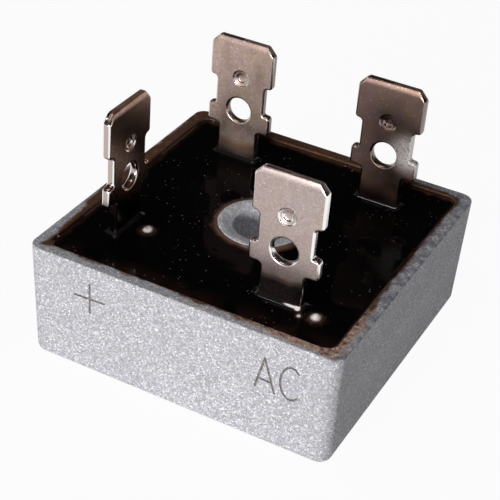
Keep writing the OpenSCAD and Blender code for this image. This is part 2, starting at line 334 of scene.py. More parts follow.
class Nodes:
    """A short way to write a material's node tree."""

    def __init__(self, name: str) -> None:
        """Starts a material with only an output.

        Args:
            name: The material's name.
        """
        self.material = bpy.data.materials.new(name)
        self.material.use_nodes = True
        self.tree = self.material.node_tree
        self.tree.nodes.clear()
        self.output = self.add("ShaderNodeOutputMaterial")
        self.place = self.add("ShaderNodeTexCoord").outputs["Object"]

    def add(self, kind: str, settings: dict[str, object] | None = None,
            **inputs: object) -> bpy.types.Node:
        """Adds a node, sets it, and fills its sockets with values or links.

        Args:
            kind: The node's type.
            settings: The node's own settings.
            **inputs: Values or output sockets, by the socket's name with _ for a space, or by
                its number after an i.

        Returns:
            The new node.
        """
        node = self.tree.nodes.new(kind)
        for key, value in (settings or {}).items():
            setattr(node, key, value)
        for key, value in inputs.items():
            number = key[1:]
            socket = node.inputs[int(number)] if key[0] == "i" and number.isdigit() \
                else node.inputs[key.replace("_", " ")]
            if isinstance(value, bpy.types.NodeSocket):
                self.tree.links.new(value, socket)
            else:
                socket.default_value = value
        return node

    def noise(self, size: float, detail: float = 4.0, rough: float = 0.55,
              shift: float = 0.0, stretch: Point3 = (1.0, 1.0, 1.0)) -> bpy.types.NodeSocket:
        """A noise pattern with grains of about a size.

        Args:
            size: The grain size in metres.
            detail: How many finer layers it has.
            rough: How strong the finer layers are.
            shift: Moves the pattern, so that two of a size differ.
            stretch: How much longer the grains are along each axis.

        Returns:
            The pattern, from 0 to 1.
        """
        scale = [1.0 / size / s for s in stretch]
        mapping = self.add("ShaderNodeMapping", Vector=self.place, Scale=scale,
                           Location=(shift, shift * 0.7, shift * 1.3))
        node = self.add("ShaderNodeTexNoise", Vector=mapping.outputs[0], Scale=1.0,
                        Detail=detail, Roughness=rough)
        return node.outputs["Fac"]

    def cells(self, size: float, shift: float = 0.0) -> bpy.types.NodeSocket:
        """Small facets, each of one random value.

        Args:
            size: The facets' size in metres.
            shift: Moves the pattern.

        Returns:
            The value, from 0 to 1.
        """
        mapping = self.add("ShaderNodeMapping", Vector=self.place, Scale=[1.0 / size] * 3,
                           Location=(shift, shift, shift))
        node = self.add("ShaderNodeTexVoronoi", {"feature": "F1"}, Vector=mapping.outputs[0],
                        Scale=1.0)
        return self.add("ShaderNodeSeparateColor", i0=node.outputs["Color"]).outputs[0]

    def near(self, point: Point3, radius: float, soft: float,
             long: float = 1.0) -> bpy.types.NodeSocket:
        """How near the surface is to a point.

        Args:
            point: The point in metres.
            radius: Full strength up to this distance.
            soft: Over how much more it fades out.
            long: How much further it reaches along X.

        Returns:
            1 near the point and 0 away from it.
        """
        mapping = self.add("ShaderNodeMapping", Vector=self.place, Scale=(1 / long, 1.0, 1.0))
        away = self.add("ShaderNodeVectorMath", {"operation": "DISTANCE"},
                        i0=mapping.outputs[0], i1=(point[0] / long, point[1], point[2]))
        return self.ramp(away.outputs["Value"], radius, radius + soft, 1.0, 0.0)

    def ramp(self, value: bpy.types.NodeSocket, low: float, high: float,
             start: object = 0.0, end: float = 1.0) -> bpy.types.NodeSocket:
        """A value from one range taken smoothly to another.

        Args:
            value: The value.
            low: Where it starts to change.
            high: Where it stops.
            start: The result at low, a value or a socket.
            end: The result at high.

        Returns:
            The result.
        """
        node = self.add("ShaderNodeMapRange", {"interpolation_type": "SMOOTHSTEP"}, Value=value)
        for number, limit in ((1, low), (2, high), (3, start), (4, end)):
            if isinstance(limit, bpy.types.NodeSocket):
                self.tree.links.new(limit, node.inputs[number])
            else:
                node.inputs[number].default_value = limit
        return node.outputs[0]

    def math(self, what: str, first: object, second: object = 0.0) -> bpy.types.NodeSocket:
        """One sum.

        Args:
            what: The operation's name, such as MULTIPLY.
            first: The first value or socket.
            second: The second value or socket.

        Returns:
            The result.
        """
        return self.add("ShaderNodeMath", {"operation": what}, i0=first, i1=second).outputs[0]

    def mix(self, amount: object, first: object, second: object,
            blend: str = "MIX") -> bpy.types.NodeSocket:
        """Two colours mixed.

        Args:
            amount: How much of the second there is.
            first: The first colour or socket.
            second: The second colour or socket.
            blend: How they mix.

        Returns:
            The mixed colour.
        """
        node = self.add("ShaderNodeMix", {"data_type": "RGBA", "blend_type": blend})
        for number, value in ((0, amount), (6, first), (7, second)):
            if isinstance(value, bpy.types.NodeSocket):
                self.tree.links.new(value, node.inputs[number])
            elif number == 0:
                node.inputs[number].default_value = value
            else:
                node.inputs[number].default_value = (*value, 1.0)
        return node.outputs[2]

    def axis(self, letter: str) -> bpy.types.NodeSocket:
        """One coordinate of the point.

        Args:
            letter: X, Y or Z.

        Returns:
            The coordinate in metres.
        """
        return self.add("ShaderNodeSeparateXYZ", i0=self.place).outputs[letter]

    def bump(self, height: bpy.types.NodeSocket, depth: float,
             under: bpy.types.NodeSocket | None = None) -> bpy.types.NodeSocket:
        """A relief of a real depth.

        Args:
            height: The pattern, from 0 to 1.
            depth: How deep it is, in metres.
            under: A relief that this one lies on.

        Returns:
            The normal.
        """
        node = self.add("ShaderNodeBump", Height=height, Distance=depth, Strength=1.0)
        if under is not None:
            self.tree.links.new(under, node.inputs["Normal"])
        return node.outputs[0]

    def surface(self, **inputs: object) -> bpy.types.Material:
        """Ends the tree in a shader with these sockets.

        Args:
            **inputs: The shader's sockets, as for add.

        Returns:
            The finished material.
        """
        shader = self.add("ShaderNodeBsdfPrincipled", **inputs)
        self.tree.links.new(shader.outputs[0], self.output.inputs["Surface"])
        return self.material


@dataclass(frozen=True)
class BlastedAluminium:
    """Finely sand blasted cast aluminium, with a brown film of compound on the rim that turns light copper at
    the front corner, partly its own tint and partly a painted highlight, with painted glints there; the hub
    is painted lighter with painted sparkle, and the right rim has a darker blue-grey band.
    """

    bright: Colour = (0.72, 0.71, 0.755)
    dull: Colour = (0.36, 0.355, 0.385)
    film: Colour = (0.12, 0.042, 0.015)
    amber: Colour = (0.22, 0.10, 0.05)
    copper_sheen: Colour = (0.66, 0.43, 0.34)
    right_rim_tint: Colour = (0.13, 0.125, 0.18)
    painted_glint: Colour = (0.95, 0.84, 0.78)
    hub_painted_light: Colour = (0.70, 0.70, 0.78)
    wet: Colour = (0.006, 0.003, 0.002)
    grain: float = 0.11 * MM
    rim_z: float = 10.95 * MM
    half: float = 14.4 * MM

    def build(self) -> bpy.types.Material:
        """Makes the material.

        Returns:
            The material.
        """
        n = Nodes("blasted_aluminium")
        cell = n.cells(self.grain)
        fine = n.math("ADD", n.math("MULTIPLY", cell, 0.6),
                      n.math("MULTIPLY", n.noise(self.grain * 0.7, 2.0, 0.7), 0.5))
        patch = n.noise(5.5 * MM, 3.0, 0.5, shift=3.1)
        tone = n.mix(n.ramp(fine, 0.22, 0.88), self.dull, self.bright)
        tone = n.mix(n.ramp(cell, 0.86, 0.93, 0.0, 0.9), tone, (0.97, 0.97, 1.0))
        tone = n.mix(n.ramp(patch, 0.35, 0.7, 0.0, 0.14), tone, self.dull)
        edge = n.math("ABSOLUTE", n.math("SUBTRACT", n.axis("Z"), self.rim_z))
        near_rim = n.ramp(edge, 0.3 * MM, 1.1 * MM, 1.0, 0.0)
        out = n.math("MAXIMUM", n.math("ABSOLUTE", n.axis("X")),
                     n.math("ABSOLUTE", n.axis("Y")))
        blot = n.noise(2.2 * MM, 5.0, 0.6, shift=1.9)
        back = n.ramp(n.math("SUBTRACT", n.axis("Y"), n.axis("X")), 0 * MM, 14 * MM, 0.0, 0.5)
        # The front corner of the rim, where the film turns light copper, partly its own tint and partly a
        # painted highlight, and where the painted glints go.
        front = n.near((12.5 * MM, -13.5 * MM, 10.95 * MM), 3 * MM, 8 * MM)
        where = n.math("ADD", blot, n.math("ADD", back, n.math("MULTIPLY", front, 0.32)))
        reach = n.math("ADD", n.math("MULTIPLY", where, 1.7 * MM), self.half - 1.85 * MM)
        over = n.ramp(n.math("SUBTRACT", reach, out), -0.25 * MM, 0.15 * MM)
        far = n.math("SQRT", n.math("ADD", n.math("POWER", n.axis("X"), 2.0),
                                    n.math("POWER", n.axis("Y"), 2.0)))
        ring = n.ramp(n.math("ADD", far, n.math("MULTIPLY", blot, 0.8 * MM)),
                      4.10 * MM, 4.30 * MM)
        at_hub = n.math("MULTIPLY", ring, n.ramp(far, 5 * MM, 6 * MM, 1.0, 0.0))
        at_rim = n.math("MULTIPLY", n.math("MULTIPLY", near_rim, over),
                        n.ramp(out, 8 * MM, 9 * MM))
        film = n.math("MAXIMUM", at_rim, at_hub)
        # The film is lighter where it is drier. Near the front corner and round the hub it is pushed lighter,
        # partly its own tint and partly a painted highlight.
        dry = n.math("ADD", n.noise(0.5 * MM, 4.0, 0.7, shift=8.8),
                     n.math("MULTIPLY", n.math("ADD", front, at_hub), 0.18))
        film_and_glints = n.mix(n.ramp(dry, 0.50, 0.75), self.film, n.mix(front, self.amber, self.copper_sheen))
        # Painted glints: pale cells at the front corner of the rim.
        glint = n.math("MULTIPLY", n.ramp(n.cells(0.16 * MM, shift=2.6), 0.74, 0.86), front)
        film_and_glints = n.mix(n.math("MULTIPLY", n.math("MULTIPLY", glint, n.ramp(dry, 0.55, 0.7)), 0.8),
                      film_and_glints, self.painted_glint)
        film_and_glints = n.mix(n.ramp(n.axis("Z"), 10.72 * MM, 10.90 * MM, n.math("SUBTRACT", 1.0, at_hub),
                             0.0), film_and_glints, self.wet)
        hub = n.ramp(far, 4.0 * MM, 4.2 * MM, 1.0, 0.0)
        # Painted light: the hub is painted lighter than the rest of the case, with white cells for painted
        # sparkle.
        hub_painted_sparkle = n.mix(n.ramp(n.cells(0.22 * MM, shift=7.7), 0.55, 0.8), self.hub_painted_light,
                       (1.0, 1.0, 1.0))
        tone = n.mix(n.math("MULTIPLY", hub, 0.8), tone, hub_painted_sparkle)
        # A darker blue-grey, blotched band along the right rim.
        right = n.math("MULTIPLY", n.ramp(n.axis("X"), 12.6 * MM, 12.9 * MM),
                       n.ramp(edge, 0.08 * MM, 0.25 * MM, 1.0, 0.0))
        right_rim_blotches = n.ramp(n.noise(0.7 * MM, 4.0, 0.65, shift=6.6), 0.42, 0.60, 0.0, 0.6)
        tone = n.mix(n.math("MULTIPLY", right, right_rim_blotches), tone, self.right_rim_tint)
        tone = n.mix(n.math("MULTIPLY", film, 0.97), tone, film_and_glints)
        pits = n.math("MULTIPLY", n.noise(0.32 * MM, 2.0, 0.6, shift=5.5), hub)
        relief = n.bump(fine, 0.030 * MM, n.bump(pits, 0.06 * MM))
        rough = n.ramp(n.noise(self.grain * 1.5, 2.0, 0.5, shift=4.4), 0.3, 0.7, 0.46, 0.64)
        rough = n.math("SUBTRACT", rough, n.math("MULTIPLY", film, 0.3))
        return n.surface(Base_Color=tone, Metallic=0.08, Roughness=rough, Normal=relief,
                         Specular_IOR_Level=0.12)


@dataclass(frozen=True)
class Marking:
    """The dull grey floor of the marks cut into the case."""

    tone: Colour = (0.16, 0.14, 0.135)
    light: Colour = (0.34, 0.32, 0.32)

    def build(self) -> bpy.types.Material:
        """Makes the material.

        Returns:
            The material.
        """
        n = Nodes("marking")
        dots = n.noise(0.22 * MM, 3.0, 0.6, shift=2.2)
        tone = n.mix(n.ramp(dots, 0.4, 0.7), self.tone, self.light)
        return n.surface(Base_Color=tone, Metallic=0.3, Roughness=0.7,
                         Normal=n.bump(dots, 0.02 * MM))


@dataclass(frozen=True)
class BlackEpoxy:
    """Black casting compound, cured glossy, with fine dust in and on its surface; a warm glow is painted near
    the front wall, the brown film round the hub is partly a painted sheen, and painted highlights sit on the
    drops and along the front AC blade's foot.
    """

    body: Colour = (0.0030, 0.0022, 0.0024)
    thin: Colour = (0.055, 0.019, 0.008)
    hub_film_sheen: Colour = (0.17, 0.085, 0.062)
    glow: Colour = (0.030, 0.014, 0.010)
    dust: Colour = (0.34, 0.31, 0.30)
    wall_half: float = 13.19 * MM
    haze: Colour = (0.10, 0.095, 0.10)
    mirror: Colour = (0.055, 0.05, 0.05)
    rust: Colour = (0.13, 0.065, 0.05)
    # A painted highlight colour, for the drops' cores and the streak along the front AC blade's foot.
    pale: Colour = (0.97, 0.88, 0.84)
    dusty: Point3 = (-6.0 * MM, 1.5 * MM, 10.5 * MM)
    mounds: tuple[tuple[Point3, float], ...] = (
        ((10.05 * MM, -9.75 * MM, 10.85 * MM), 0.62 * MM),
        ((-7.6 * MM, -6.45 * MM, 10.75 * MM), 0.58 * MM),
        ((8.75 * MM, -10.15 * MM, 10.6 * MM), 0.26 * MM))
    highlight_streak: tuple[tuple[Point3, float, float], ...] = (
        ((7.75 * MM, -9.62 * MM, 10.76 * MM), 0.13 * MM, 6.5),
        ((8.32 * MM, -9.62 * MM, 10.80 * MM), 0.26 * MM, 1.2))

    def build(self) -> bpy.types.Material:
        """Makes the material.

        Returns:
            The material.
        """
        n = Nodes("black_epoxy")
        mapping = n.add("ShaderNodeMapping", Vector=n.place, Scale=[1 / (0.42 * MM)] * 3)
        cells = n.add("ShaderNodeTexVoronoi", {"feature": "F1"}, Vector=mapping.outputs[0],
                      Scale=1.0)
        chosen = n.ramp(n.add("ShaderNodeSeparateColor", i0=cells.outputs["Color"]).outputs[0],
                        0.55, 0.66)
        speck = n.math("MULTIPLY", n.ramp(cells.outputs["Distance"], 0.07, 0.17, 1.0, 0.0),
                       chosen)
        where = n.math("MAXIMUM", n.ramp(n.noise(4.5 * MM, 2.0, 0.5, shift=5.2), 0.45, 0.62),
                       n.near(self.dusty, 3.0 * MM, 3.5 * MM))
        speck = n.math("MULTIPLY", speck, where)
        mist = n.math("MULTIPLY", n.ramp(n.noise(0.14 * MM, 3.0, 0.6, shift=9.4), 0.60, 0.72),
                      n.near(self.dusty, 1.5 * MM, 4.5 * MM))
        out = n.math("MAXIMUM", n.math("ABSOLUTE", n.axis("X")),
                     n.math("ABSOLUTE", n.axis("Y")))
        far = n.math("SQRT", n.math("ADD", n.math("POWER", n.axis("X"), 2.0),
                                    n.math("POWER", n.axis("Y"), 2.0)))
        blot = n.math("MULTIPLY", n.noise(1.6 * MM, 4.0, 0.6, shift=3.3), 0.9 * MM)
        thin = n.math("MAXIMUM",
                      n.ramp(n.math("ADD", out, blot), self.wall_half - 0.05 * MM,
                             self.wall_half + 0.55 * MM),
                      n.ramp(n.math("SUBTRACT", far, blot), 3.45 * MM, 4.1 * MM, 1.0, 0.0))
        # Painted light: a warm glow painted into the compound near the front wall, in clouds.
        cloud = n.ramp(n.noise(2.4 * MM, 3.0, 0.5, shift=6.1), 0.35, 0.6)
        toward = n.ramp(n.axis("Y"), -13.0 * MM, -10.6 * MM, 1.0, 0.0)
        tone = n.mix(n.math("MULTIPLY", cloud, toward), self.body, self.glow)
        # Brown where the compound is thin at the walls and round the hub; round the hub it is lighter, partly
        # the thin film's tint and partly a painted sheen.
        tone = n.mix(thin, tone, n.mix(n.ramp(far, 5 * MM, 6 * MM), self.hub_film_sheen, self.thin))
        tone = n.mix(n.math("MULTIPLY", mist, 0.35), tone, self.haze)
        tone = n.mix(speck, tone, self.dust)
        gloss = n.ramp(n.axis("Z"), 10.58 * MM, 10.72 * MM, 0.0, 0.7)
        tone = n.mix(gloss, tone, self.mirror)
        waves = n.bump(n.noise(3.2 * MM, 2.0, 0.4, shift=0.6), 0.03 * MM)
        relief = n.bump(speck, 0.02 * MM, waves)
        # Each drop gets a rusty ragged halo and a painted highlight at its core.
        for point, size in self.mounds:
            ragged = n.math("MULTIPLY", n.near(point, size * 0.5, size * 1.5),
                            n.ramp(n.noise(0.45 * MM, 4.0, 0.7, shift=1.2), 0.32, 0.62, 0.1, 1.0))
            tone = n.mix(ragged, tone, self.rust)
            highlight_core = n.near(point, size * 0.5, size * 0.45)
            tone = n.mix(highlight_core, tone, self.pale)
            gloss = n.math("MULTIPLY", gloss, n.math("SUBTRACT", 1.0, ragged))
        # A painted highlight streak on the meniscus along the front AC blade's foot.
        for point, size, long in self.highlight_streak:
            highlight_core = n.near(point, size * 0.6, size * 0.5, long)
            tone = n.mix(highlight_core, tone, self.pale)
            gloss = n.math("MULTIPLY", gloss, n.math("SUBTRACT", 1.0, highlight_core))
        return n.surface(Base_Color=tone, Metallic=gloss, Roughness=0.07, IOR=1.15,
                         Normal=relief)


@dataclass(frozen=True)
class NickelPlate:
    """Warm grey nickel plating, half mirror and half satin, with stains and fine pits; its sheared sides and
    rolled edges carry painted light and shade, and it can carry painted pools of light.
    """

    name: str
    seed: float
    clean: Colour = (0.60, 0.52, 0.495)
    stain: Colour = (0.30, 0.205, 0.165)
    film: Colour = (0.022, 0.012, 0.013)
    film_light: Colour = (0.085, 0.055, 0.060)
    fringe: Colour = (0.36, 0.19, 0.10)
    # Tones of the sheared sides and of a painted highlight along the rolled edges; each blade sets its own,
    # as painted light and shade.
    side: Colour = (0.50, 0.43, 0.40)
    edge: Colour = (0.97, 0.94, 0.92)
    speck: Colour = (0.86, 0.80, 0.76)
    violet: Colour = (1.0, 0.86, 0.95)
    olive: Colour = (1.0, 0.95, 0.78)
    # How much of the painted edge highlight stays on the darker base.
    edge_highlight_in_film: float = 0.1
    turned: bool = False
    satin: float = 0.34
    polish: float = 0.20
    stained: float = 0.35
    metallic: float = 1.0
    film_z: float = 12.6 * MM
    film_soft: float = 2.2 * MM
    # Points where a painted pool of light goes.
    light_pools: tuple[Point3, ...] = ()
    tip_z: float = CAD_BOX[1][2]

    def build(self) -> bpy.types.Material:
        """Makes the material.

        Returns:
            The material.
        """
        n = Nodes(self.name)
        haze = n.noise(3.4 * MM, 2.0, 0.45, shift=self.seed)
        fine = n.noise(0.16 * MM, 3.0, 0.65, shift=self.seed + 2)
        rolled = n.noise(0.10 * MM, 2.0, 0.5, shift=self.seed + 4, stretch=(1.0, 1.0, 9.0))
        tone = n.mix(n.ramp(haze, 0.36, 0.70, 0.0, self.stained), self.clean, self.stain)
        mottle = n.noise(0.85 * MM, 5.0, 0.72, shift=self.seed + 6)
        tone = n.mix(n.ramp(mottle, 0.44, 0.66, 0.0, self.stained), tone, self.stain)
        hue = n.mix(n.ramp(n.noise(1.3 * MM, 3.0, 0.6, shift=self.seed + 8), 0.40, 0.60),
                    self.violet, self.olive)
        tone = n.mix(n.math("MINIMUM", self.stained + 0.15, 1.0), tone, hue, "MULTIPLY")
        tone = n.mix(n.ramp(fine, 0.38, 0.66, 0.0, 0.45), tone, self.stain)
        tone = n.mix(n.ramp(n.cells(0.09 * MM, shift=self.seed), 0.95, 0.99, 0.0, 0.38), tone,
                     self.speck)
        ragged = n.math("ADD", n.axis("Z"), n.math("MULTIPLY", haze, 2.4 * MM))
        film = n.ramp(ragged, self.film_z, self.film_z + self.film_soft, 0.93, 0.0)
        fringe = n.math("MULTIPLY", n.ramp(film, 0.0, 0.35), n.ramp(film, 0.35, 0.75, 1.0, 0.0))
        tone = n.mix(n.math("MULTIPLY", fringe, 0.75), tone, self.fringe)
        tone = n.mix(film, tone, n.mix(n.ramp(fine, 0.45, 0.7), self.film, self.film_light))
        rough = n.ramp(haze, 0.3, 0.68, self.polish, self.satin)
        sheared = n.ramp(n.axis("Z"), self.tip_z - 0.10 * MM, self.tip_z - 0.02 * MM, 0.0, 0.35)
        rough = n.math("ADD", rough, sheared)
        rough = n.math("ADD", rough, n.ramp(n.axis("Z"), self.tip_z - 0.58 * MM,
                                            self.tip_z - 0.48 * MM, 0.0, 0.14))
        facing = n.add("ShaderNodeSeparateXYZ",
                       i0=n.add("ShaderNodeNewGeometry").outputs["Normal"]).outputs
        across = n.math("ABSOLUTE", facing["Y" if self.turned else "X"])
        along = n.math("ABSOLUTE", facing["X" if self.turned else "Y"])
        # Painted light and shade: the sheared sides take a tone of their own, and a painted highlight runs
        # along the rolled edges, dimmed on the darker base.
        side = n.math("MULTIPLY", n.ramp(across, 0.72, 0.95), n.ramp(film, 0.3, 0.8, 1.0, 0.0))
        rolled_edge_highlight = n.math("MULTIPLY", n.ramp(n.math("MULTIPLY", across, along), 0.14, 0.36),
                             n.ramp(film, 0.3, 0.8, 1.0, self.edge_highlight_in_film))
        tone = n.mix(side, tone, self.side)
        tone = n.mix(rolled_edge_highlight, tone, self.edge)
        burnished = n.math("MAXIMUM", rolled_edge_highlight, n.math("MULTIPLY", side, 0.6))
        rough = n.math("MULTIPLY", rough, n.math("SUBTRACT", 1.0,
                                                 n.math("MULTIPLY", burnished, 0.5)))
        metallic = self.metallic
        # Painted light: a grainy pale patch round each point, less metallic so that it reads as lit.
        for point in self.light_pools:
            pool_grain = n.math("ADD", n.math("MULTIPLY", n.cells(0.10 * MM, shift=1.3), 0.8), 0.45)
            painted_pool = n.math("MINIMUM", n.math("MULTIPLY", n.near(point, 0.6 * MM, 2.0 * MM), pool_grain),
                          1.0)
            tone = n.mix(painted_pool, tone, (0.93, 0.86, 0.82))
            metallic = n.math("SUBTRACT", metallic, n.math("MULTIPLY", painted_pool, 0.9))
        relief = n.bump(n.math("ADD", n.math("MULTIPLY", fine, 0.7),
                               n.math("MULTIPLY", rolled, 0.5)), 0.005 * MM)
        return n.surface(Base_Color=tone, Metallic=metallic, Roughness=rough, Normal=relief)


@dataclass(frozen=True)
class BuriedFinish:
    """A plain matt finish with a little grain, for what the compound hides."""

    name: str
    tone: Colour
    metallic: float
    roughness: float

    def build(self) -> bpy.types.Material:
        """Makes the material.

        Returns:
            The material.
        """
        n = Nodes(self.name)
        grain = n.noise(0.25 * MM, 3.0, 0.6)
        darker = tuple(c * 0.8 for c in self.tone)
        return n.surface(Base_Color=n.mix(n.ramp(grain, 0.3, 0.7), darker, self.tone),
                         Metallic=self.metallic, Roughness=self.roughness,
                         Normal=n.bump(grain, 0.006 * MM))


# ---------------------------------------------------------------- the case


@dataclass
class CastCase:
    """The cast metal cup with its hub and the generic marks cut into its front."""

    wall: float = 1.2 * MM
    floor_t: float = 1.8 * MM
    lean: float = 0.25 * MM
    corner_r: float = 1.15 * MM
    cavity_r: float = 1.1 * MM
    base_r: float = 0.6 * MM
    cavity_edge: float = 0.5 * MM
    rim_r: float = 0.15 * MM
    hole_r: float = 2.45 * MM
    hub_r: float = 3.9 * MM
    hub_top: float = 10.65 * MM
    hole_chamfer: float = 0.2 * MM
    dish_w: float = 1.0 * MM
    dish_deep: float = 0.3 * MM
    hub_edge: float = 0.25 * MM
    hub_root: float = 0.6 * MM
    mark_w: float = 0.20 * MM
    mark_d: float = 0.07 * MM
    low: Vector = field(default_factory=lambda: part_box("case")[0])
    high: Vector = field(default_factory=lambda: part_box("case")[1])

    @property
    def half(self) -> float:
        """Half the case's width at the rim."""
        return self.high.x

    @property
    def height(self) -> float:
        """The case's height."""
        return self.high.z

    def drafted(self, name: str, half: float, low: float, high: float, corner: float,
                foot: float) -> bpy.types.Object:
        """A square block that leans in towards its base, with rounded corners and base edge.

        Args:
            name: The object's name.
            half: Half its width at the height of the rim.
            low: Its base.
            high: Its top.
            corner: The radius of its upright corners.
            foot: The radius round its base.

        Returns:
            The new object.
        """
        piece = block(name, (-half, -half, low), (half, half, high))
        narrow = half - self.lean * (1 - low / self.height)
        wide = half - self.lean * (1 - high / self.height)
        bpy.ops.object.mode_set(mode="EDIT")
        for level, width in ((low, narrow), (high, wide)):
            select_where(piece, "FACE", lambda c, z=level: abs(c.z - z) < 1e-6)
            bpy.ops.transform.resize(value=(width / half, width / half, 1),
                                     center_override=(0, 0, 0))
        middle = (low + high) / 2
        select_where(piece, "EDGE", lambda c: abs(c.z - middle) < 1e-6)
        bpy.ops.mesh.bevel(offset=corner, offset_type="OFFSET", segments=10)
        select_where(piece, "EDGE", lambda c: c.z < low + 1e-6)
        bpy.ops.mesh.bevel(offset=foot, offset_type="OFFSET", segments=6)
        bpy.ops.object.mode_set(mode="OBJECT")
        return piece

    def cavity(self) -> bpy.types.Object:
        """The tool that hollows the cup, flared at the top to round the rim's inner edge.

        Returns:
            The tool.
        """
        top = self.height - self.rim_r
        piece = self.drafted("cavity_tool", self.half - self.wall, self.floor_t, top,
                             self.cavity_r, self.cavity_edge)
        bpy.ops.object.mode_set(mode="EDIT")
        reach = self.half - self.wall
        select_where(piece, "FACE", lambda c: c.z > top - 1e-6)
        for angle, last in ((30, 0), (60, 30), (90, 60)):
            rise = self.rim_r * (math.sin(math.radians(angle)) - math.sin(math.radians(last)))
            out = self.rim_r * (math.cos(math.radians(last)) - math.cos(math.radians(angle)))
            bpy.ops.mesh.extrude_region_move(TRANSFORM_OT_translate={"value": (0, 0, rise)})
            bpy.ops.transform.resize(value=(1 + out / reach, 1 + out / reach, 1),
                                     center_override=(0, 0, 0))
        bpy.ops.mesh.extrude_region_move(TRANSFORM_OT_translate={"value": (0, 0, MM)})
        bpy.ops.object.mode_set(mode="OBJECT")
        return piece

    def hub(self) -> bpy.types.Object:
        """The hub round the mounting hole, with its root fillet.

        Returns:
            The hub, sunk a little into the floor.
        """
        root, edge = self.hub_root, self.hub_edge
        profile = [(0.0, self.floor_t / 2), (self.hub_r + root, self.floor_t / 2)]
        profile += arc((self.hub_r + root, self.floor_t + root), root, 270, 180, 5)
        profile += arc((self.hub_r - edge, self.hub_top - edge), edge, 0, 90, 5)
        profile.append((0.0, self.hub_top))
        return lathe("hub", profile)

    def hole(self) -> bpy.types.Object:
        """The tool that makes the mounting hole, its chamfer and the dish at its top.

        Returns:
            The tool.
        """
        r, c, top, spare = self.hole_r, self.hole_chamfer, self.hub_top, MM
        w, d, soft = self.dish_w, self.dish_deep, 0.08 * MM
        profile = [(0.0, -spare), (r + c + spare, -spare), (r + c, 0.0), (r, c),
                   (r, top - d - soft), (r + soft * 0.3, top - d - soft * 0.2)]
        profile += [(r + soft + (w - soft) * s, top - d * (1 - s) ** 1.12)
                    for s in (0.0, 0.2, 0.4, 0.6, 0.8, 1.0)]
        profile += [(r + w, top + spare), (0.0, top + spare)]
        return lathe("hole_tool", profile)

    def stroke(self, start: Point2, end: Point2) -> bpy.types.Object:
        """A round-ended straight groove tool across the front face.

        Args:
            start: Its first end, (x, z) in millimetres.
            end: Its last end, (x, z) in millimetres.

        Returns:
            The tool, leaning as the face does.
        """
        a, b = Vector(start) * MM, Vector(end) * MM
        along = b - a
        half = self.mark_w / 2
        turn = math.degrees(math.atan2(along.y, along.x))
        outline = arc(tuple(b), half, turn - 90, turn + 90, 6)
        outline += arc(tuple(a), half, turn + 90, turn + 270, 6)
        bpy.ops.object.select_all(action="DESELECT")
        bpy.ops.mesh.primitive_plane_add(size=1)
        piece = bpy.context.object
        bpy.ops.object.mode_set(mode="EDIT")
        bpy.ops.mesh.delete(type="VERT")
        mesh = bmesh.from_edit_mesh(piece.data)
        corners = [mesh.verts.new((x, self.surface_y(z) + self.mark_d, z)) for x, z in outline]
        mesh.faces.new(corners)
        bmesh.update_edit_mesh(piece.data)
        bpy.ops.mesh.select_all(action="SELECT")
        bpy.ops.mesh.extrude_region_move(
            TRANSFORM_OT_translate={"value": (0, -0.3 * MM, 0)})
        bpy.ops.mesh.select_all(action="SELECT")
        bpy.ops.mesh.normals_make_consistent(inside=False)
        bpy.ops.object.mode_set(mode="OBJECT")
        return piece

    def surface_y(self, z: float) -> float:
        """Where the front face is at a height, in metres."""
        return -(self.half - self.lean * (1 - z / self.height))

    def marks(self) -> list[bpy.types.Object]:
        """Groove tools for a plus sign and the letters AC.

        Returns:
            The tools.
        """
        strokes = [((-9.67, 7.74), (-6.82, 7.86)), ((-8.2, 9.25), (-8.2, 6.4)),
                   ((7.4, 5.7), (8.12, 8.75)), ((8.12, 8.75), (9.15, 5.6)),
                   ((7.66, 6.6), (8.84, 6.55))]
        tools = [self.stroke(a, b) for a, b in strokes]
        bow = arc((10.5, 7.2), 0.93, 50, 310, 12)
        tall = [(x, 7.2 + (z - 7.2) * 1.75) for x, z in bow]
        tools += [self.stroke(a, b) for a, b in zip(tall, tall[1:])]
        return tools

    def build(self, metal: bpy.types.Material, mark: bpy.types.Material) -> bpy.types.Object:
        """Models the case.

        Args:
            metal: The case's finish.
            mark: The finish of the cut marks.

        Returns:
            The finished piece.
        """
        piece = self.drafted("case_casting", self.half, 0.0, self.height, self.corner_r,
                             self.base_r)
        bpy.ops.object.mode_set(mode="EDIT")
        select_where(piece, "EDGE", lambda c: c.z > self.height - 1e-6)
        bpy.ops.mesh.bevel(offset=self.rim_r, offset_type="OFFSET", segments=3)
        bpy.ops.object.mode_set(mode="OBJECT")
        piece.data.materials.append(metal)
        piece.data.materials.append(mark)
        combine(piece, self.cavity(), Solver.CUT)
        combine(piece, self.hub(), Solver.FUSE)
        combine(piece, self.hole(), Solver.CUT)
        for tool in self.marks():
            tool.data.materials.append(mark)
            combine(piece, tool, Solver.CUT)
        settle(piece)
        smooth(piece)
        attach(piece, "root")
        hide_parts("case")
        return piece


# ---------------------------------------------------------------- the compound


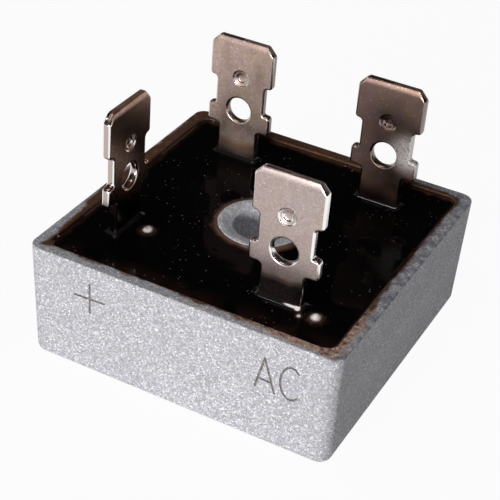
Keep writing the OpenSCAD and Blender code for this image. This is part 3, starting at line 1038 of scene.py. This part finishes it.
@dataclass
class CompoundSurface:
    """The poured surface of the compound: menisci, drops and slow waves on a closed slab."""

    level: float = 10.45 * MM
    clear: float = 0.012 * MM
    wall_half: float = 13.19 * MM
    hub_r: float = 3.9 * MM
    inner_r: float = 3.62 * MM
    foot_w: float = 3.95 * MM
    foot_t: float = 0.8 * MM
    reach: float = 0.5 * MM
    foot_reach: float = 0.8 * MM
    wall_rise: float = 0.33 * MM
    hub_rise: float = 0.11 * MM
    foot_rise: float = 0.45 * MM
    cells: int = 215
    thick: float = 0.25 * MM
    drops: tuple[tuple[float, float, float, float], ...] = (
        (10.05, -9.65, 0.6, 0.42), (-7.6, -6.2, 0.5, 0.30), (-9.3, -8.9, 0.28, 0.16),
        (8.75, 8.0, 0.26, 0.16), (8.1, 8.35, 0.2, 0.08), (-4.6, 8.1, 0.3, 0.14),
        (9.1, -11.9, 0.16, 0.08), (8.75, -10.15, 0.2, 0.10), (-1.4, -5.6, 0.14, 0.04), (3.2, 9.8, 0.16, 0.05),
        (-11.2, 3.4, 0.2, 0.04), (1.6, -9.2, 0.15, 0.03), (11.4, -2.2, 0.16, 0.04))

    def feet(self) -> list[tuple[float, float, float, float]]:
        """Middle and half sizes in X and Y of each foot where it leaves the compound."""
        places = []
        for blade in blades():
            half_w, half_t = self.foot_w / 2, self.foot_t / 2
            if blade.facing is Facing.SIDE:
                half_w, half_t = half_t, half_w
            middle = blade.middle
            places.append((middle.x, middle.y, half_w, half_t))
        return places

    def climb(self, gap: float, rise: float, reach: float) -> float:
        """Height of the meniscus at a gap from what it climbs.

        Args:
            gap: The gap in metres, negative inside.
            rise: The height at the wall.
            reach: How far out the meniscus reaches.

        Returns:
            The height.
        """
        if gap >= reach:
            return 0.0
        share = 1 - max(gap, 0.0) / reach
        return rise * (1 - math.sqrt(max(0.0, 1 - share * share)))

    def height(self, x: float, y: float, feet: Sequence[tuple[float, ...]]) -> float:
        """Height of the surface at a point.

        Args:
            x: The point's X.
            y: The point's Y.
            feet: The terminals' feet.

        Returns:
            The height in metres.
        """
        corner = 1.1 * MM
        inner = self.wall_half - corner
        over = Vector((max(abs(x) - inner, 0.0), max(abs(y) - inner, 0.0)))
        if over.x > 0 and over.y > 0:
            gap = corner - over.length
        else:
            gap = self.wall_half - max(abs(x), abs(y))
        rise = self.climb(gap, self.wall_rise, self.reach)
        rise = max(rise, self.climb(math.hypot(x, y) - self.hub_r, self.hub_rise, self.reach))
        for cx, cy, half_x, half_y in feet:
            dx, dy = max(abs(x - cx) - half_x, 0.0), max(abs(y - cy) - half_y, 0.0)
            rise = max(rise, self.climb(math.hypot(dx, dy), self.foot_rise,
                                        self.foot_reach))
        wave = 0.010 * MM * (math.sin(x * 410 + 1.0) * math.cos(y * 530)
                             + math.sin((x + y) * 760))
        drop = 0.0
        for cx, cy, radius, tall in self.drops:
            away = math.hypot(x - cx * MM, y - cy * MM) / (radius * MM)
            if away < 2.2:
                drop += tall * MM * math.exp(-1.8 * away * away)
        return self.level + self.clear + 0.02 * MM + wave + rise + drop

    def build(self, finish: bpy.types.Material) -> bpy.types.Object:
        """Models the surface as a slab with a hole for the hub.

        Args:
            finish: The compound's finish.

        Returns:
            The finished piece.
        """
        feet = self.feet()
        bpy.ops.object.select_all(action="DESELECT")
        bpy.ops.mesh.primitive_grid_add(x_subdivisions=self.cells, y_subdivisions=self.cells,
                                        size=2 * (self.wall_half + 0.1 * MM))
        piece = bpy.context.object
        piece.name = "compound_surface"
        bpy.ops.object.mode_set(mode="EDIT")
        select_where(piece, "FACE", lambda c: math.hypot(c.x, c.y) < self.inner_r)
        bpy.ops.mesh.delete(type="FACE")
        corner = 1.1 * MM
        limit = self.wall_half - corner
        select_where(piece, "FACE", lambda c: abs(c.x) > limit and abs(c.y) > limit and
                     math.hypot(abs(c.x) - limit, abs(c.y) - limit) > corner + 0.12 * MM)
        bpy.ops.mesh.delete(type="FACE")
        bpy.ops.object.mode_set(mode="OBJECT")
        for vertex in piece.data.vertices:
            vertex.co.z = self.height(vertex.co.x, vertex.co.y, feet)
        activate(piece)
        bpy.ops.object.mode_set(mode="EDIT")
        bpy.ops.mesh.select_all(action="SELECT")
        bpy.ops.mesh.extrude_region_move(
            TRANSFORM_OT_translate={"value": (0, 0, -self.thick)})
        bpy.ops.object.mode_set(mode="OBJECT")
        settle(piece, 1e-8)
        activate(piece)
        bpy.ops.object.shade_smooth_by_angle(angle=math.radians(50))
        piece.data.materials.append(finish)
        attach(piece, "root")
        return piece


# ---------------------------------------------------------------- the terminals


@dataclass
class BladeTerminal:
    """One stamped terminal: a push-on blade on a foot, with its buried bend and plate."""

    name: str
    node: str
    middle: Vector
    facing: Facing
    finish: NickelPlate
    width: float = 6.3 * MM
    thick: float = 0.8 * MM
    tip_w: float = 0.75 * MM
    tip_h: float = 0.8 * MM
    lead_long: float = 0.5 * MM
    lead_deep: float = 0.27 * MM
    notch_top: float = 4.1 * MM
    notch_h: float = 2.75 * MM
    notch_d: float = 0.7 * MM
    shoulder_h: float = 1.9 * MM
    corner: float = 0.35 * MM
    foot_w: float = 3.95 * MM
    roll: float = 0.24 * MM
    hole_r: float = 1.15 * MM
    hole_down: float = 6.95 * MM
    dimple_r: float = 0.85 * MM
    dimple_d: float = 0.26 * MM
    dimple_down: float = 3.75 * MM
    joint_z: float = 9.6 * MM
    tip_z: float = CAD_BOX[1][2]

    def outline(self) -> list[Point2]:
        """The blade's outline, (x, z), counterclockwise from the foot's right corner."""
        half, r = self.width / 2, self.corner
        neck, foot = half - self.notch_d, self.foot_w / 2
        hi = self.tip_z - self.notch_top
        lo = hi - self.notch_h
        shoulder = lo - self.shoulder_h
        right = [(foot, self.joint_z, 0.0), (foot, shoulder, r), (half, shoulder, r),
                 (half, lo, r), (neck, lo, r * 0.6), (neck, hi, r), (half, hi, r),
                 (half, self.tip_z - self.tip_h, r), (half - self.tip_w, self.tip_z, r)]
        left = [(-x, z, radius) for x, z, radius in reversed(right)]
        return rounded(right + left)

    def plate(self) -> bpy.types.Object:
        """The upright sheet with rolled edges and its wire hole, face towards -Y.

        Returns:
            The sheet, standing with its middle plane at Y = 0.
        """
        curve = bpy.data.curves.new(self.name, "CURVE")
        curve.dimensions = "2D"
        curve.fill_mode = "BOTH"
        curve.extrude = self.thick / 2 - self.roll
        curve.bevel_depth = self.roll
        curve.bevel_resolution = 3
        curve.offset = -self.roll
        hole = arc((0.0, self.tip_z - self.hole_down), self.hole_r, 0, 352.5, 47)
        for points in (self.outline(), hole):
            spline = curve.splines.new("POLY")
            spline.points.add(len(points) - 1)
            for point, (x, z) in zip(spline.points, points):
                point.co = (x, z, 0.0, 1.0)
            spline.use_cyclic_u = True
        piece = bpy.data.objects.new(self.name, curve)
        bpy.context.scene.collection.objects.link(piece)
        activate(piece)
        bpy.ops.object.convert(target="MESH")
        piece = bpy.context.object
        piece.rotation_euler = (math.pi / 2, 0.0, 0.0)
        settle(piece, 1e-6)
        return piece

    def lead_in(self, piece: bpy.types.Object) -> None:
        """Bevels the tip on both faces, with the corners.

        Args:
            piece: The upright sheet.
        """
        face_y = self.thick / 2
        slope = self.lead_deep / self.lead_long
        bpy.ops.object.mode_set(mode="EDIT")
        for side in (-1, 1):
            bpy.ops.mesh.select_all(action="SELECT")
            bpy.ops.mesh.bisect(
                plane_co=(0, side * face_y, self.tip_z - self.lead_long),
                plane_no=Vector((0, side, slope)).normalized(),
                use_fill=True, clear_outer=True)
        bpy.ops.object.mode_set(mode="OBJECT")

    def dimple(self, side: int) -> bpy.types.Object:
        """The tool that coins the stepped latching dimple into one face.

        Args:
            side: -1 for the face towards -Y, 1 for the other.

        Returns:
            The tool.
        """
        r, d = self.dimple_r, self.dimple_d
        profile = [(0.0, -d), (0.36 * r, -0.97 * d), (0.46 * r, -0.87 * d),
                   (0.53 * r, -0.60 * d), (0.58 * r, -0.47 * d), (0.66 * r, -0.42 * d),
                   (0.82 * r, -0.38 * d), (0.89 * r, -0.28 * d), (0.94 * r, -0.10 * d),
                   (r, 0.0), (1.06 * r, 0.3 * MM), (0.0, 0.3 * MM)]
        tool = lathe("dimple_tool", profile, 48)
        tool.rotation_euler = (math.pi / 2 * -side, 0.0, 0.0)
        tool.location = (0.0, side * self.thick / 2, self.tip_z - self.dimple_down)
        activate(tool)
        bpy.ops.object.transform_apply(location=True, rotation=True, scale=True)
        return tool

    def buried(self) -> bpy.types.Object:
        """The part under the compound: a merged copy of the CAD's own solid, cut off level.

        Returns:
            The buried part, closed.
        """
        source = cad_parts[self.node]
        piece = bpy.data.objects.new("buried_part", source.data.copy())
        bpy.context.scene.collection.objects.link(piece)
        piece.data.materials.clear()
        activate(piece)
        bpy.ops.object.mode_set(mode="EDIT")
        bpy.ops.mesh.select_all(action="SELECT")
        bpy.ops.mesh.remove_doubles(threshold=1e-6)
        bpy.ops.mesh.bisect(plane_co=(0, 0, self.joint_z + 0.05 * MM), plane_no=(0, 0, 1),
                            use_fill=True, clear_outer=True)
        bpy.ops.object.mode_set(mode="OBJECT")
        return piece

    def build(self) -> bpy.types.Object:
        """Models the terminal.

        Returns:
            The finished piece.
        """
        piece = self.plate()
        self.lead_in(piece)
        for side in (-1, 1):
            combine(piece, self.dimple(side), Solver.CUT)
        piece.rotation_euler = (0.0, 0.0, self.facing.value)
        piece.location = (self.middle.x, self.middle.y, 0.0)
        settle(piece)
        combine(piece, self.buried(), Solver.FUSE)
        piece.name = self.name
        piece.data.materials.clear()
        piece.data.materials.append(self.finish.build())
        smooth(piece, 34.0)
        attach(piece, "root")
        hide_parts(self.node)
        return piece


def blades() -> list[BladeTerminal]:
    """The four terminals, each placed by its CAD node's box.

    Returns:
        The terminals, not yet built.
    """
    half_w, half_t = 3.15 * MM, 0.4 * MM
    positive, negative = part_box("terminal_positive"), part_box("terminal_negative")
    front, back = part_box("terminal_ac_front"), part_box("terminal_ac_back")
    return [
        BladeTerminal("blade_positive", "terminal_positive",
                      Vector((positive[0].x + half_t, positive[0].y + half_w, 0)),
                      Facing.SIDE, NickelPlate("nickel_positive", 11.0, stained=0.7,
                                               clean=(0.66, 0.50, 0.42),
                                               stain=(0.36, 0.21, 0.13), satin=0.27,
                                               side=(0.52, 0.44, 0.40), turned=True,
                                               edge_highlight_in_film=0.75,
                                               film_z=12.8 * MM)),
        # Painted shade: this blade's clean, side and edge tones are darker copies of the plating; painted
        # light: a pool of light right of its wire hole.
        BladeTerminal("blade_negative", "terminal_negative",
                      Vector((negative[1].x - half_w, negative[1].y - half_t, 0)),
                      Facing.FRONT, NickelPlate(
                          "nickel_negative", 23.0, stained=0.7, clean=(0.38, 0.27, 0.255),
                          satin=0.38, polish=0.27, film_z=12.2 * MM,
                          side=(0.20, 0.17, 0.14), edge=(0.26, 0.22, 0.20),
                          light_pools=((9.1 * MM, 8.9 * MM, 16.3 * MM),))),
        # Painted highlight: this blade's sheared sides are painted near white.
        BladeTerminal("blade_ac_front", "terminal_ac_front",
                      Vector((front[1].x - half_w, front[0].y + half_t, 0)),
                      Facing.FRONT, NickelPlate("nickel_ac_front", 31.0, stained=0.15,
                                                clean=(0.50, 0.43, 0.42), satin=0.38,
                                                polish=0.27, side=(0.95, 0.92, 0.90), edge_highlight_in_film=0.7,
                                                film_z=13.55 * MM, film_soft=0.9 * MM)),
        # Painted shade: this blade's sheared sides are painted dark, and its edge highlight is dimmer.
        BladeTerminal("blade_ac_back", "terminal_ac_back",
                      Vector((back[0].x + half_w, back[1].y - half_t, 0)),
                      Facing.FRONT, NickelPlate("nickel_ac_back", 47.0, satin=0.5,
                                                polish=0.36, clean=(0.54, 0.44, 0.40),
                                                stained=0.45, side=(0.24, 0.19, 0.17),
                                                edge=(0.60, 0.53, 0.50),
                                                film_z=12.0 * MM)),
    ]


# ---------------------------------------------------------------- the buried stack


@dataclass
class BuriedStack:
    """The insulating plate, the four dice and their solder, which keep the CAD's meshes."""

    ceramic: BuriedFinish = BuriedFinish("alumina", (0.84, 0.82, 0.76), 0.0, 0.75)
    silicon: BuriedFinish = BuriedFinish("silicon", (0.10, 0.105, 0.13), 0.6, 0.3)
    solder: BuriedFinish = BuriedFinish("soft_solder", (0.52, 0.53, 0.54), 1.0, 0.45)

    def dress(self) -> int:
        """Gives each buried node its finish.

        Returns:
            How many nodes were dressed.
        """
        finishes = {"insulating": self.ceramic.build(), "die": self.silicon.build(),
                    "solder": self.solder.build()}
        count = 0
        for name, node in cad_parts.items():
            finish = finishes.get(name.split("_")[0])
            if finish:
                node.data.materials.clear()
                node.data.materials.append(finish)
                count += 1
        return count


# ---------------------------------------------------------------- the studio


@dataclass
class Studio:
    """The pale floor, the world, the lamps and the camera."""

    azimuth: float = 25.67
    elevation: float = 34.0
    roll: float = 4.74
    distance: float = 112.63 * MM
    target: Point3 = (3.108 * MM, -8.246 * MM, 13.595 * MM)
    lens: float = 100.84
    floor_size: float = 3.0

    def direction(self, azimuth: float, elevation: float) -> Vector:
        """The way towards a place seen from the object, at an azimuth and elevation."""
        a, e = math.radians(azimuth), math.radians(elevation)
        return Vector((math.sin(a) * math.cos(e), -math.cos(a) * math.cos(e), math.sin(e)))

    def camera(self) -> None:
        """Adds the camera and makes it the scene's."""
        back = self.direction(self.azimuth, self.elevation)
        right = Vector((0, 0, 1)).cross(back).normalized()
        up = back.cross(right)
        tilt = math.radians(self.roll)
        side = right * math.cos(tilt) + up * math.sin(tilt)
        top = up * math.cos(tilt) - right * math.sin(tilt)
        turn = Matrix((side, top, back)).transposed().to_4x4()
        data = bpy.data.cameras.new("camera")
        data.lens, data.sensor_width = self.lens, 36.0
        data.clip_start, data.clip_end = 0.005, 20.0
        camera = bpy.data.objects.new("camera", data)
        bpy.context.scene.collection.objects.link(camera)
        camera.matrix_world = Matrix.Translation(
            Vector(self.target) + back * self.distance) @ turn
        bpy.context.scene.camera = camera

    def lamp(self, name: str, azimuth: float, elevation: float, away: float, size: Point2,
             watts: float, tone: Colour = (1.0, 1.0, 1.0)) -> None:
        """Adds one soft lamp that looks at the object.

        Args:
            name: The lamp's name.
            azimuth: Where it stands, in degrees from the front.
            elevation: How high it stands, in degrees.
            away: Its distance in metres.
            size: Its width and height in metres.
            watts: Its power.
            tone: Its colour.
        """
        data = bpy.data.lights.new(name, "AREA")
        data.shape = "RECTANGLE"
        data.size, data.size_y = size
        data.energy, data.color = watts, tone
        lamp = bpy.data.objects.new(name, data)
        bpy.context.scene.collection.objects.link(lamp)
        way = self.direction(azimuth, elevation)
        lamp.location = way * away + Vector((0, 0, 0.01))
        lamp.rotation_euler = way.to_track_quat("Z", "Y").to_euler()

    def floor(self) -> None:
        """Adds the pale floor, which looks white and keeps a soft shadow."""
        bpy.ops.object.select_all(action="DESELECT")
        bpy.ops.mesh.primitive_plane_add(size=self.floor_size, location=(0, 0, 0))
        plane = bpy.context.object
        plane.name = "studio_floor"
        n = Nodes("studio_floor")
        path = n.add("ShaderNodeLightPath").outputs
        seen = n.math("MAXIMUM", path["Is Camera Ray"],
                      n.math("MAXIMUM", path["Is Glossy Ray"], path["Is Transmission Ray"]))
        matt = n.add("ShaderNodeBsdfDiffuse", Color=(0.86, 0.86, 0.86, 1.0))
        glow = n.add("ShaderNodeEmission", Color=(1.0, 1.0, 1.0, 1.0), Strength=1.0)
        mixed = n.add("ShaderNodeMixShader", i0=n.math("MULTIPLY", seen, 0.95),
                      i1=matt.outputs[0], i2=glow.outputs[0])
        n.tree.links.new(mixed.outputs[0], n.output.inputs["Surface"])
        plane.data.materials.append(n.material)

    def world(self) -> None:
        """Sets a white horizon, a dark ceiling for gloss and a dim even light."""
        world = bpy.data.worlds.new("studio_world")
        world.use_nodes = True
        bpy.context.scene.world = world
        tree = world.node_tree
        tree.nodes.clear()

        def add(kind: str, **settings: object) -> bpy.types.Node:
            """Adds a world node with its settings."""
            node = tree.nodes.new(kind)
            for key, value in settings.items():
                setattr(node, key, value)
            return node

        out = add("ShaderNodeOutputWorld")
        path = add("ShaderNodeLightPath").outputs
        way = add("ShaderNodeTexCoord").outputs["Generated"]
        parts = add("ShaderNodeSeparateXYZ")
        tree.links.new(way, parts.inputs[0])
        ceiling = add("ShaderNodeMapRange", interpolation_type="SMOOTHSTEP")
        tree.links.new(parts.outputs["Z"], ceiling.inputs[0])
        for number, value in ((1, 0.02), (2, 0.22), (3, 0.90), (4, 0.022)):
            ceiling.inputs[number].default_value = value
        glossy = add("ShaderNodeMath", operation="MAXIMUM")
        tree.links.new(path["Is Glossy Ray"], glossy.inputs[0])
        tree.links.new(path["Is Transmission Ray"], glossy.inputs[1])
        dim = add("ShaderNodeMix", data_type="FLOAT")
        tree.links.new(glossy.outputs[0], dim.inputs[0])
        dim.inputs[2].default_value = 0.08
        tree.links.new(ceiling.outputs[0], dim.inputs[3])
        level = add("ShaderNodeMix", data_type="FLOAT")
        tree.links.new(path["Is Camera Ray"], level.inputs[0])
        tree.links.new(dim.outputs[0], level.inputs[2])
        level.inputs[3].default_value = 1.0
        back = add("ShaderNodeBackground")
        tree.links.new(level.outputs[0], back.inputs["Strength"])
        back.inputs["Color"].default_value = (1.0, 1.0, 1.0, 1.0)
        tree.links.new(back.outputs[0], out.inputs["Surface"])

    def build(self) -> None:
        """Sets up the whole studio."""
        self.floor()
        self.world()
        self.lamp("key_lamp", 1, 8, 0.32, (0.11, 0.085), 0.80)
        self.lamp("top_lamp", -25, 66, 0.30, (0.10, 0.03), 0.17)
        self.camera()
        bpy.context.scene.view_settings.view_transform = "Standard"


def main() -> None:
    """Builds the studio and the object."""
    logging.basicConfig(level=logging.INFO, format="%(name)s: %(message)s")
    Studio().build()
    LOG.info("studio ready")
    piece = CastCase().build(BlastedAluminium().build(), Marking().build())
    LOG.info("%s: %d faces", piece.name, len(piece.data.polygons))
    epoxy = BlackEpoxy().build()
    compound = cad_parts["potting_compound"]
    compound.data.materials.clear()
    compound.data.materials.append(epoxy)
    piece = CompoundSurface().build(epoxy)
    LOG.info("%s: %d faces", piece.name, len(piece.data.polygons))
    for blade in blades():
        piece = blade.build()
        LOG.info("%s: %d faces", piece.name, len(piece.data.polygons))
    LOG.info("buried nodes dressed: %d", BuriedStack().dress())
    LOG.info("sizes written")


if __name__ == "__main__":
    main()
